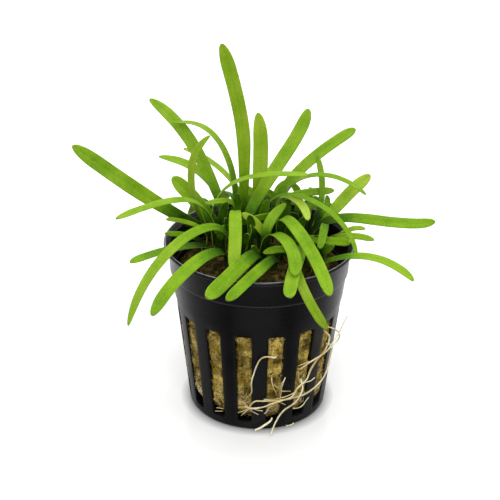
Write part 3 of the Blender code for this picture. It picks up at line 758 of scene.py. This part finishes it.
def round_slot_corners(pot):
    """Rounds the four corners of each slot, from the outer wall to the inner one."""
    def corner(edge):
        a, b = (vert.co for vert in edge.verts)
        flat = abs(a.z - b.z) < 1e-6 and min(abs(a.z - SLOT_BOTTOM * MM), abs(a.z - SLOT_TOP * MM)) < 1e-6
        through = abs(Vector((a.x, a.y)).length - Vector((b.x, b.y)).length) > 0.6 * MM
        return flat and through and slot_at(a)[1] > SLOT_HALF_ANGLE - 0.1

    pick(pot, "edges", corner)
    bpy.ops.mesh.bevel(offset=0.45 * MM, segments=3, affect="EDGES")


def cut_drains(pot):
    """Cuts the six drain slots of the base with rounded bars."""
    for number in range(DRAIN_COUNT):
        start_piece()
        middle = front_direction(360 / DRAIN_COUNT * number) * (DRAIN_INNER + DRAIN_OUTER) / 2 * MM
        bpy.ops.mesh.primitive_cube_add(
            size=1.0, location=middle, rotation=(0, 0, radians(360 / DRAIN_COUNT * number)),
            scale=(DRAIN_WIDTH * MM, (DRAIN_OUTER - DRAIN_INNER) * MM, 6 * MM),
        )
        bar = named_piece("drain_cutter")
        settle(bar)
        bpy.ops.object.mode_set(mode="EDIT")
        bpy.ops.mesh.select_mode(type="EDGE")
        pick(bar, "edges", lambda edge: abs(edge.verts[0].co.z - edge.verts[1].co.z) > 1 * MM)
        bpy.ops.mesh.bevel(offset=1.2 * MM, segments=5, affect="EDGES")
        bpy.ops.object.mode_set(mode="OBJECT")
        cut = pot.modifiers.new("drain", "BOOLEAN")
        cut.operation = "DIFFERENCE"
        cut.solver = "EXACT"
        cut.object = bar
        apply_modifier(pot, cut)
        bpy.data.objects.remove(bar)


def make_pot():
    rings = pot_rings()
    start_piece()
    turns = rim_turns()
    bpy.ops.mesh.primitive_circle_add(vertices=len(turns), radius=rings[0][0] * MM, location=(0, 0, 0))
    pot = named_piece("net_pot")
    for vert, turn in zip(pot.data.vertices, turns):
        vert.co = front_direction(turn) * rings[0][0] * MM + Vector((0, 0, rings[0][1] * MM))
    bpy.ops.object.mode_set(mode="EDIT")
    bpy.ops.mesh.select_mode(type="EDGE")
    bpy.ops.mesh.select_all(action="SELECT")
    for (radius, height), (wider, higher) in zip(rings, rings[1:]):
        bpy.ops.mesh.extrude_region_move(TRANSFORM_OT_translate={"value": (0, 0, (higher - height) * MM)})
        grown = wider / radius
        bpy.ops.transform.resize(value=(grown, grown, 1), center_override=(0, 0, higher * MM))
    bpy.ops.mesh.edge_face_add()
    pick(pot, "edges", lambda edge: edge.is_boundary)
    bpy.ops.mesh.edge_face_add()
    bpy.ops.mesh.select_all(action="SELECT")
    bpy.ops.mesh.normals_make_consistent(inside=False)
    cut_slots(pot)
    round_slot_corners(pot)
    bpy.ops.mesh.select_all(action="SELECT")
    bpy.ops.mesh.normals_make_consistent(inside=False)
    bpy.ops.object.mode_set(mode="OBJECT")
    cut_drains(pot)
    soften = pot.modifiers.new("soften", "BEVEL")
    soften.width = 0.13 * MM
    soften.segments = 2
    soften.limit_method = "ANGLE"
    soften.angle_limit = radians(50)
    apply_modifier(pot, soften)
    start_piece()
    pot.select_set(True)
    bpy.context.view_layer.objects.active = pot
    bpy.ops.object.shade_smooth_by_angle(angle=radians(32))
    return dress(pot, PLASTIC, "pot", "pot")


# Rockwool

def wool_top(x, y):
    """Height of the rockwool's top: a low dome, with lumps that fade towards its middle."""
    out = min(1.0, Vector((x, y)).length / 22.0)
    lumps = 0.6 * sin(0.55 * x + 1.3) * cos(0.48 * y) + 0.35 * sin(1.1 * y + 0.4 * x)
    return WOOL_TOP - WOOL_EDGE_DROP * out**3 + lumps * out**2 - 0.3 * (1 - out)


def slot_bulge(turn, height):
    """How far the wool presses out into a slot, by its angle from the slot's middle and its height."""
    away = slot_at(front_direction(turn))[1]
    across = min(1.0, max(0.0, (SLOT_HALF_ANGLE - 0.08 - away) / 0.5))
    up = min(1.0, max(0.0, (height - SLOT_BOTTOM - 1.6) / 3.0), max(0.0, (SLOT_TOP - 0.2 - height) / 0.8))
    return WOOL_BULGE * (across * (2 - across)) * up


def wool_radius(height):
    """Radius of the rockwool at a height: just inside the wall, and rounded in at its foot."""
    radius = wall_radius(min(40.0, height)) - STEP_OUT - WALL - WOOL_GAP
    if height < 7.0:
        radius -= 3.6 * ((7.0 - height) / 5.5) ** 2.2
    return radius


def make_wool():
    """A plug drawn up ring by ring, then torn and pitted by displacement."""
    bottom = FLOOR_THICKNESS + WOOL_GAP
    heights = [bottom + (39.5 - bottom) * step / 48 for step in range(49)]
    turns = [FIRST_SLOT + 360 / SLOT_COUNT * number + step for number in range(SLOT_COUNT) for step in WOOL_TURNS]
    start_piece()
    bpy.ops.mesh.primitive_circle_add(
        vertices=len(turns), radius=wool_radius(bottom) * MM, location=(0, 0, 0), fill_type="NGON"
    )
    wool = named_piece("rockwool_plug")
    for vert, turn in zip(wool.data.vertices, turns):
        vert.co = front_direction(turn) * wool_radius(bottom) * MM
    bpy.ops.object.mode_set(mode="EDIT")
    bpy.ops.mesh.select_all(action="SELECT")
    bpy.ops.transform.translate(value=(0, 0, bottom * MM))
    for lower, upper in zip(heights, heights[1:]):
        bpy.ops.mesh.extrude_region_move(TRANSFORM_OT_translate={"value": (0, 0, (upper - lower) * MM)})
        grown = wool_radius(upper) / wool_radius(lower)
        bpy.ops.transform.resize(value=(grown, grown, 1), center_override=(0, 0, upper * MM))
    rim = wool_radius(39.5)
    shares = [1.0, 0.985] + [0.96 - 0.04 * step for step in range(23)]
    for outer, inner in zip(shares, shares[1:]):
        bpy.ops.mesh.extrude_region_move(TRANSFORM_OT_translate={"value": (0, 0, 0)})
        bpy.ops.transform.resize(value=(inner / outer,) * 2 + (1,), center_override=(0, 0, 39.5 * MM))
    bpy.ops.object.mode_set(mode="OBJECT")
    for vert in wool.data.vertices:
        x, y, z = vert.co / MM
        share = Vector((x, y)).length / rim
        if z > 39.4 and share < 0.999:
            vert.co.z = (wool_top(x, y) - 1.6 * max(0.0, (share - 0.93) / 0.07) ** 2) * MM
        elif z < 39.4:
            out = Vector((x, y, 0)).normalized()
            turn = out.to_2d().angle_signed(Vector((0, -1))) * 180 / pi
            vert.co += out * slot_bulge(turn, z) * MM
    for scale, depth, seed in ((5.5, 0.8, 3), (1.7, 0.65, 8), (0.7, 0.4, 5)):
        for vert in wool.data.vertices:
            x, y, z = vert.co / MM
            if z < bottom + 0.2:
                continue
            pull = noise.fractal(Vector((x, y, z)) / scale + Vector((seed, 0, 0)), 0.9, 2.0, 3)
            away = Vector((x, y, 0)).normalized() if z < 39.6 else Vector((0, 0, 1))
            inward = min(0.0, pull) if z < 39.6 else pull
            vert.co += away * inward * depth * MM
    for face in wool.data.polygons:
        face.use_smooth = True
    return dress(wool, WOOL, "rockwool", "rockwool")


def fibre_places(dice):
    """Where each loose fibre of the wool lies, and the way out of the wool there."""
    for _ in range(2600):
        turn, share = dice.uniform(0, 360), dice.random() ** 0.5
        spot = front_direction(turn) * share * (wool_radius(39.5) - 0.8)
        yield Vector((spot.x, spot.y, wool_top(spot.x, spot.y) - 0.1)), Vector((0, 0, 1))
    for _ in range(4600):
        number = dice.randrange(SLOT_COUNT)
        height = dice.uniform(2.2, SLOT_TOP + 0.5)
        turn = FIRST_SLOT + 360 / SLOT_COUNT * number + dice.uniform(-1, 1) * (SLOT_HALF_ANGLE + 0.8)
        out = front_direction(turn)
        yield out * (wool_radius(height) + slot_bulge(turn, height) - 0.25) + Vector((0, 0, height)), out


def make_fibres():
    """Thousands of short bent mineral fibres, matted over the wool's top and in the slots."""
    dice = Random(41)
    data = bpy.data.curves.new("fibres", "CURVE")
    data.dimensions = "3D"
    data.bevel_depth = 0.05 * MM
    data.bevel_resolution = 0
    data.use_fill_caps = True
    for spot, out in fibre_places(dice):
        along = Vector((dice.gauss(0, 1), dice.gauss(0, 1), dice.gauss(0, 1)))
        along = (along - along.dot(out) * out * 0.85).normalized()
        curl = along.cross(out) * dice.uniform(-0.5, 0.5)
        length = dice.uniform(0.8, 2.3)
        strand = data.splines.new("POLY")
        strand.points.add(3)
        size = dice.uniform(0.6, 1.3)
        for step, point in enumerate(strand.points):
            run = step / 3 - 0.5
            place = spot + along * length * run + curl * length * run * run + out * (0.28 - 1.5 * run * run)
            point.co = (*(place * MM), 1.0)
            point.radius = size * (1 - 0.5 * abs(run))
    made = bpy.data.objects.new("rockwool_fibres", data)
    bpy.context.scene.collection.objects.link(made)
    start_piece()
    made.select_set(True)
    bpy.context.view_layer.objects.active = made
    bpy.ops.object.convert(target="MESH")
    return dress(named_piece("rockwool_fibres"), FIBRE, "rockwool")


# Leaves

def arc_point(leaf, share):
    """A point of the leaf's midrib, from its foot at 0 to its tip at 1."""
    rest = 1 - share
    foot = Vector((*leaf.foot, LEAF_FOOT))
    return (
        rest**3 * foot
        + 3 * rest**2 * share * Vector(leaf.rise)
        + 3 * rest * share**2 * Vector(leaf.bend)
        + share**3 * Vector(leaf.tip)
    )


def blade_sides(leaf):
    """The blade's sideways direction at each step of its midrib, carried down from a tip that faces the front."""
    points = [arc_point(leaf, step / FRAME_STEPS) for step in range(FRAME_STEPS + 1)]
    along = [(b - a).normalized() for a, b in zip(points, points[1:])]
    along.append(along[-1])
    front = Vector((0, -cos(radians(30)), sin(radians(30))))
    side = along[-1].cross(front).normalized()
    sides = [side]
    for below in reversed(along[:-1]):
        side = (side - side.dot(below) * below).normalized()
        sides.insert(0, side)
    turned = []
    for step, (tangent, side) in enumerate(zip(along, sides)):
        angle = radians(leaf.turn + leaf.twist * (1 - step / FRAME_STEPS))
        turned.append((side * cos(angle) + side.cross(tangent) * sin(angle), tangent))
    return turned


def tip_start(leaf, length):
    """Share of the arc where the blade begins to round off towards its tip."""
    return 1 - min(0.4, leaf.width * (TIP_LENGTH + TIP_TAPER * (1 - leaf.tip_share)) / length)


def blade_half_width(leaf, share, start):
    """Half the blade's width: narrow at the foot, full from its middle, an ellipse at the tip."""
    grown = min(1.0, share / BLADE_FULL_FROM) ** 0.8
    width = leaf.foot_share + (1 - leaf.foot_share) * grown
    if share > 0.7:
        width *= 1 - (1 - leaf.tip_share) * (share - 0.7) / 0.6
    if share > start:
        width *= (1 - min(1.0, (share - start) / (1 - start)) ** 2) ** 0.5 * 0.96 + 0.04
    return width * leaf.width * BLADE_SPREAD / 2


def row_share(row, start):
    """Share of the arc for a row of the grid: even rows on the body, closer ones round the tip."""
    if row <= BODY_ROWS:
        return start * row / BODY_ROWS
    return start + (1 - start) * sin(pi / 2 * (row - BODY_ROWS) / TIP_ROWS)


def make_leaf(name, leaf, number, *nodes):
    """A fine grid laid along the leaf's arc, channelled and creased, given a body that thins to its edges."""
    start_piece()
    bpy.ops.mesh.primitive_grid_add(
        x_subdivisions=BLADE_ACROSS, y_subdivisions=BODY_ROWS + TIP_ROWS, size=2.0, location=(0, 0, 0),
        calc_uvs=True,
    )
    blade = named_piece(name)
    blade.data.uv_layers[0].name = "blade"
    sides = blade_sides(leaf)
    stops = [arc_point(leaf, step / FRAME_STEPS) for step in range(FRAME_STEPS + 1)]
    length = sum((b - a).length for a, b in zip(stops, stops[1:]))
    start = tip_start(leaf, length)
    body = blade.vertex_groups.new(name="body")
    wave = Vector((number * 7.3, number * 3.1, 0))
    blade.data.attributes.new("run", "FLOAT", "POINT")
    for vert in blade.data.vertices:
        across, row = vert.co.x, round((vert.co.y + 1) / 2 * (BODY_ROWS + TIP_ROWS))
        share = row_share(row, start)
        place = share * FRAME_STEPS
        step = min(FRAME_STEPS - 1, int(place))
        side = sides[step][0].lerp(sides[step + 1][0], place - step).normalized()
        tangent = sides[step][1].lerp(sides[step + 1][1], place - step).normalized()
        half = blade_half_width(leaf, share, start)
        up = side.cross(tangent)
        raised = BLADE_CHANNEL * half * abs(across) ** 1.4 - 0.05 * half * exp(-((across / 0.16) ** 2))
        ripple = noise.noise(wave + Vector((across * 0.8, share * 9.0, 0))) * 0.09 * half * abs(across)
        sway = noise.noise(wave + Vector((4.0, share * 4.0, 1.0))) * 0.12 * min(1.0, share * 4)
        sunk = FOOT_SINK if row == 0 else 0.0
        spot = arc_point(leaf, share) + side * (half * across + sway) + up * (raised + ripple)
        vert.co = (spot - Vector((0, 0, sunk))) * MM
        body.add([vert.index], 1.0 - 0.62 * abs(across) ** 3 * min(1.0, share * 3), "REPLACE")
        blade.data.attributes["run"].data[vert.index].value = share
    tone = blade.data.attributes.new("tone", "FLOAT", "POINT")
    tone.data.foreach_set("value", [leaf.tone] * len(blade.data.vertices))
    thick = blade.modifiers.new("thick", "SOLIDIFY")
    thick.thickness = BLADE_THICKNESS * MM
    thick.offset = 0.0
    thick.vertex_group = "body"
    thick.thickness_vertex_group = 0.1
    apply_modifier(blade, thick)
    smooth = blade.modifiers.new("smooth", "SUBSURF")
    smooth.levels = smooth.render_levels = 1
    apply_modifier(blade, smooth)
    for face in blade.data.polygons:
        face.use_smooth = True
    return dress(blade, GREEN, "leaf", *nodes)


# Roots

def make_root(name, root, seed, *nodes):
    """A tube of uneven thickness on a smooth path round the wall, with soft kinks."""
    dice = Random(seed)
    data = bpy.data.curves.new(name, "CURVE")
    data.dimensions = "3D"
    data.resolution_u = 8
    data.bevel_depth = root.thickness * ROOT_SLIMMING / 2 * MM
    data.bevel_resolution = 3
    data.use_fill_caps = True
    spline = data.splines.new("NURBS")
    spline.points.add(len(root.points) - 1)
    spline.order_u = 3
    spline.use_endpoint_u = True
    for number, (degrees, height, clear) in enumerate(root.points):
        place = front_direction(degrees) * (wall_radius(height) + clear) + Vector((0, 0, height))
        spline.points[number].co = (*(place * MM), 1.0)
        thin = 1 - 0.35 * number / len(root.points)
        spline.points[number].radius = thin * dice.uniform(0.82, 1.12)
    made = bpy.data.objects.new(name, data)
    bpy.context.scene.collection.objects.link(made)
    start_piece()
    made.select_set(True)
    bpy.context.view_layer.objects.active = made
    bpy.ops.object.convert(target="MESH")
    tube = named_piece(name)
    for vert in tube.data.vertices:
        wobble = noise.noise_vector(vert.co / MM / 1.9 + Vector((seed, 0, 0)))
        vert.co += wobble * 0.11 * MM
    for face in tube.data.polygons:
        face.use_smooth = True
    return dress(tube, CREAM, "root", *nodes)


def make_root_hairs():
    """Pale curled hairs of the roots, matted in the lower half of the slots."""
    dice = Random(17)
    data = bpy.data.curves.new("root_hairs", "CURVE")
    data.dimensions = "3D"
    data.bevel_depth = 0.07 * MM
    data.bevel_resolution = 1
    data.use_fill_caps = True
    for _ in range(HAIR_COUNT):
        slot = FIRST_SLOT + 360 / SLOT_COUNT * dice.randrange(SLOT_COUNT)
        height = dice.triangular(5.0, 17.0, 7.0)
        heading = dice.uniform(0, 2 * pi)
        turn = dice.uniform(-4, 4)
        strand = data.splines.new("POLY")
        strand.points.add(8)
        for step, point in enumerate(strand.points):
            turn = max(-5.2, min(5.2, turn + cos(heading) * 0.9))
            height = max(4.6, height + sin(heading) * 0.36)
            heading += dice.uniform(-0.2, 0.75)
            out = wool_radius(height) + slot_bulge(slot + turn, height) + 0.12 * sin(step * 1.1)
            point.co = (*((front_direction(slot + turn) * out + Vector((0, 0, height))) * MM), 1.0)
            point.radius = 1.0 - 0.5 * step / 8
    made = bpy.data.objects.new("root_hairs", data)
    bpy.context.scene.collection.objects.link(made)
    start_piece()
    made.select_set(True)
    bpy.context.view_layer.objects.active = made
    bpy.ops.object.convert(target="MESH")
    return dress(named_piece("root_hairs"), CREAM, "root")


# Studio

def make_floor():
    start_piece()
    bpy.ops.mesh.primitive_plane_add(size=6.0, location=(0, 0, 0))
    floor = named_piece("studio_floor")
    floor.data.materials.append(studio_floor())
    start_piece()
    bpy.ops.mesh.primitive_plane_add(size=4.0, location=(0, 1.5, 2.0), rotation=(radians(90), 0, 0))
    backdrop = named_piece("studio_backdrop")
    backdrop.data.materials.append(studio_backdrop())


def add_light(name, place, aim, size, power, shade=(1, 1, 1)):
    data = bpy.data.lights.new(name, "AREA")
    data.shape = "RECTANGLE"
    data.size, data.size_y = size
    data.energy = power
    data.color = shade
    light = bpy.data.objects.new(name, data)
    bpy.context.scene.collection.objects.link(light)
    light.location = place
    light.visible_camera = False
    light.rotation_euler = (Vector(aim) - Vector(place)).to_track_quat("-Z", "Y").to_euler()


def make_studio():
    world = bpy.data.worlds.new("studio")
    bpy.context.scene.world = world
    world.use_nodes = True
    graph = Graph(world.node_tree)
    ground = world.node_tree.nodes["Background"]
    ground.inputs["Color"].default_value = (1, 1, 1, 1)
    seen = graph.node("ShaderNodeLightPath").outputs["Is Camera Ray"]
    graph.join(graph.spread(seen, 0.0, 1.0, 0.1, 1.0), ground.inputs["Strength"])
    add_light("top_softbox", (0, 0.05, 1.3), (0, 0.05, 0), (1.7, 1.7), 14.0)
    add_light("front_softbox", (0, -1.0, 0.78), (0, 0, 0.05), (1.1, 0.7), 12.0)
    add_light("left_softbox", (-0.8, -0.25, 0.5), (0, 0, 0.03), (0.5, 0.5), 1.6)
    add_light("right_softbox", (0.8, -0.25, 0.5), (0, 0, 0.03), (0.5, 0.5), 2.2)
    bpy.context.scene.view_settings.view_transform = "Standard"


make_pot()
make_wool()
make_fibres()
for number, (name, leaf) in enumerate(LEAVES.items()):
    make_leaf(f"blade_{name}", leaf, number, f"leaf_{name}")
for number, (name, leaf) in enumerate(SMALL_LEAVES.items()):
    make_leaf(name, leaf, number + len(LEAVES))
for number, (name, root) in enumerate(ROOTS.items()):
    make_root(f"{name}_skin", root, number, name)
for number, (name, root) in enumerate(ROOTLETS.items()):
    make_root(name, root, number + len(ROOTS))
make_root_hairs()
make_floor()
make_studio()
